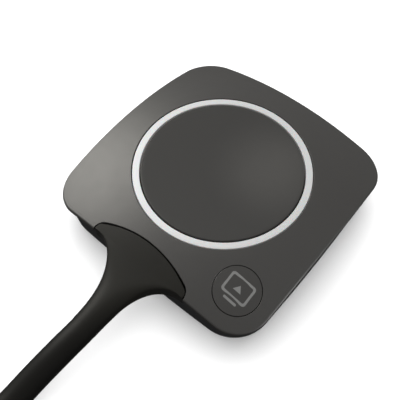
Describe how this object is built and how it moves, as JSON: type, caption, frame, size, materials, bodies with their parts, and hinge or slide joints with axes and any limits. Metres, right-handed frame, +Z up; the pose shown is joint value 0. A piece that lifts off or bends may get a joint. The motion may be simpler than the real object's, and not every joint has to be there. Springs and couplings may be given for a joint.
{
  "type": "wireless presentation dongle",
  "caption": "Square puck with a large dished push disc in a white light ring, a small corner button and a flared boot with a short cord to a plug, for sharing a computer's screen",
  "frame": {"origin": "middle of the housing, on the surface that its feet stand on", "axes": "+Z up through the push disc, -Y the way the cord leaves, +X towards the side with the corner button"},
  "size_m": [0.0594, 0.1615, 0.0163],
  "materials": {
    "cover_plastic": "satin",
    "lower_plastic": "satin",
    "diffuser_plastic": "gloss",
    "white_plastic": "gloss",
    "disc_plastic": "satin",
    "dark_plastic": "satin",
    "foam_rubber": "matte",
    "stem_plastic": "gloss",
    "board_laminate": "gloss",
    "lamp_body": "gloss",
    "plated_steel": "polished",
    "chip_resin": "matte",
    "ceramic_parts": "gloss",
    "contact_metal": "polished",
    "wire_cover": "gloss",
    "boot_rubber": "satin",
    "cord_rubber": "satin",
    "grip_plastic": "satin",
    "screw_steel": "satin",
    "foot_rubber": "matte"
  },
  "bodies": {
    "housing": {"top_cover": "cover_plastic", "bottom_cover": "lower_plastic", "light_ring": "diffuser_plastic", "ring_reflector": "white_plastic", "disc_guide": "dark_plastic", "disc_switch_case": "dark_plastic", "corner_switch_case": "dark_plastic", "disc_bumper": "foam_rubber", "circuit_board": "board_laminate", "ring_lights": "lamp_body", "radio_shield": "plated_steel", "plug_shell": "plated_steel", "processor_chip": "chip_resin", "memory_chip": "chip_resin", "board_parts": "ceramic_parts", "left_antenna": "contact_metal", "right_antenna": "contact_metal", "plug_contacts": "contact_metal", "board_socket": "white_plastic", "lead_connector": "white_plastic", "plug_tongue": "white_plastic", "inner_wires": "wire_cover", "cable_boot": "boot_rubber", "cord": "cord_rubber", "plug_grip": "grip_plastic", "housing_screws": "screw_steel", "rubber_feet": "foot_rubber"},
    "disc": {"push_disc": "disc_plastic", "disc_switch_stem": "stem_plastic"},
    "key": {"corner_button": "cover_plastic", "corner_switch_stem": "stem_plastic"}
  },
  "joints": [
    {"name": "disc_press", "type": "slide", "parent": "housing", "child": "disc", "axis": [0, 0, -1], "range_m": [0, 0.0006], "stiffness_N_per_m": 900},
    {"name": "key_press", "type": "slide", "parent": "housing", "child": "key", "axis": [0, 0, -1], "range_m": [0, 0.0005], "stiffness_N_per_m": 700}
  ]
}
